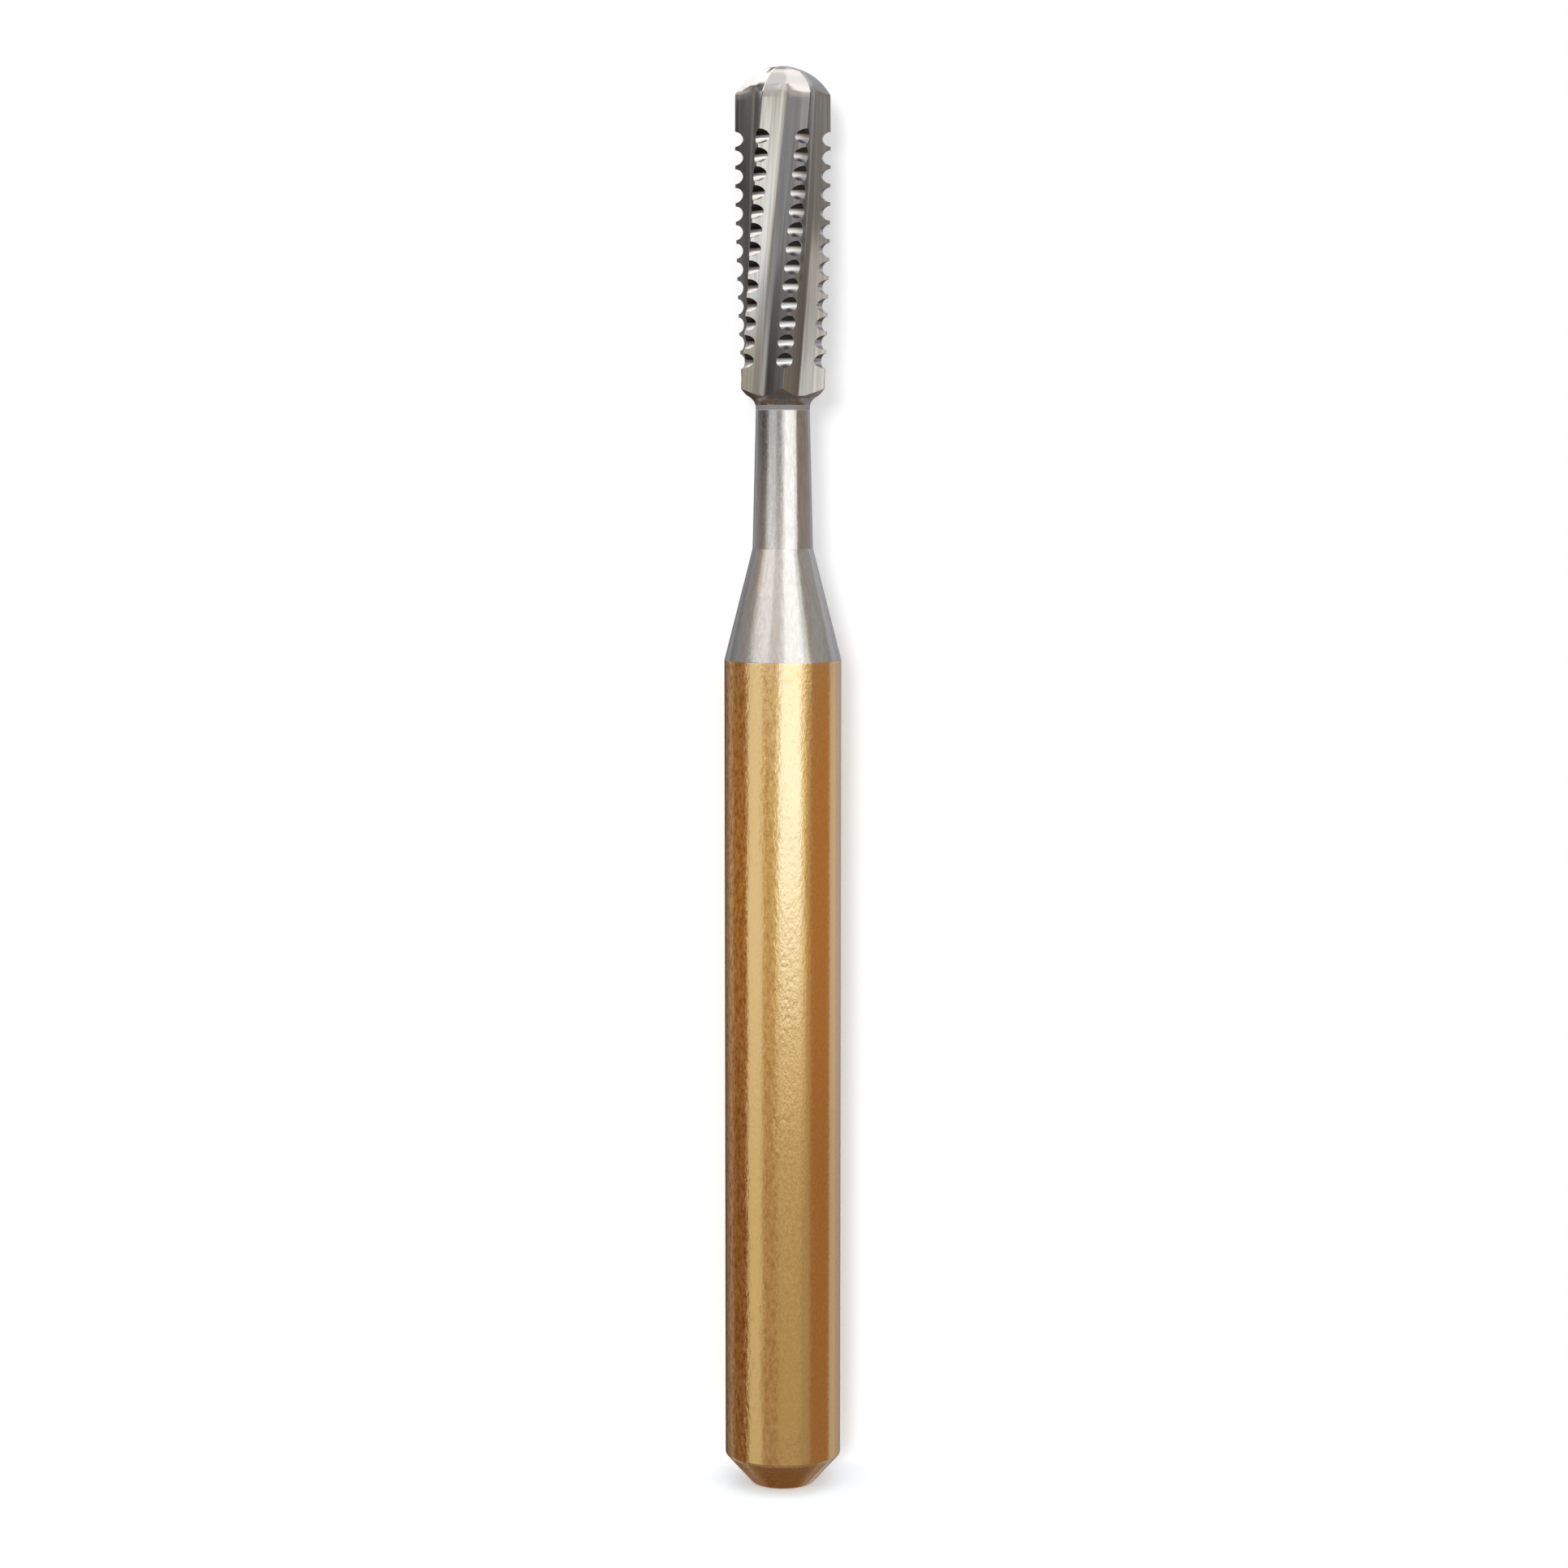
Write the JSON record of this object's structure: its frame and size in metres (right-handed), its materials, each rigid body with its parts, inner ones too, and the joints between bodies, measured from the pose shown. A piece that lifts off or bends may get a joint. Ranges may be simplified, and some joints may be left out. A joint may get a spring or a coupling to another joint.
{
  "type": "carbide burr",
  "caption": "Slim dome-ended rotary burr: right-hand fluted cutting head with cross-cut notches, brazed to a necked, gold-plated friction-grip shank.",
  "frame": {"origin": "centre of the shank's end face", "axes": "+Z along the tool's axis towards the tip of the cutting head, -Y towards the camera of the picture"},
  "size_m": [0.0016, 0.0016, 0.0195],
  "materials": {
    "tungsten_carbide": "ground tungsten carbide, fine grinding lines along the flutes",
    "plated_steel": "satin gold plating on the gripped cylinder and its chamfer, bare grainy steel on the cone and neck"
  },
  "bodies": {
    "root": {"cutting_head": "tungsten_carbide", "shank": "plated_steel"}
  },
  "joints": []
}
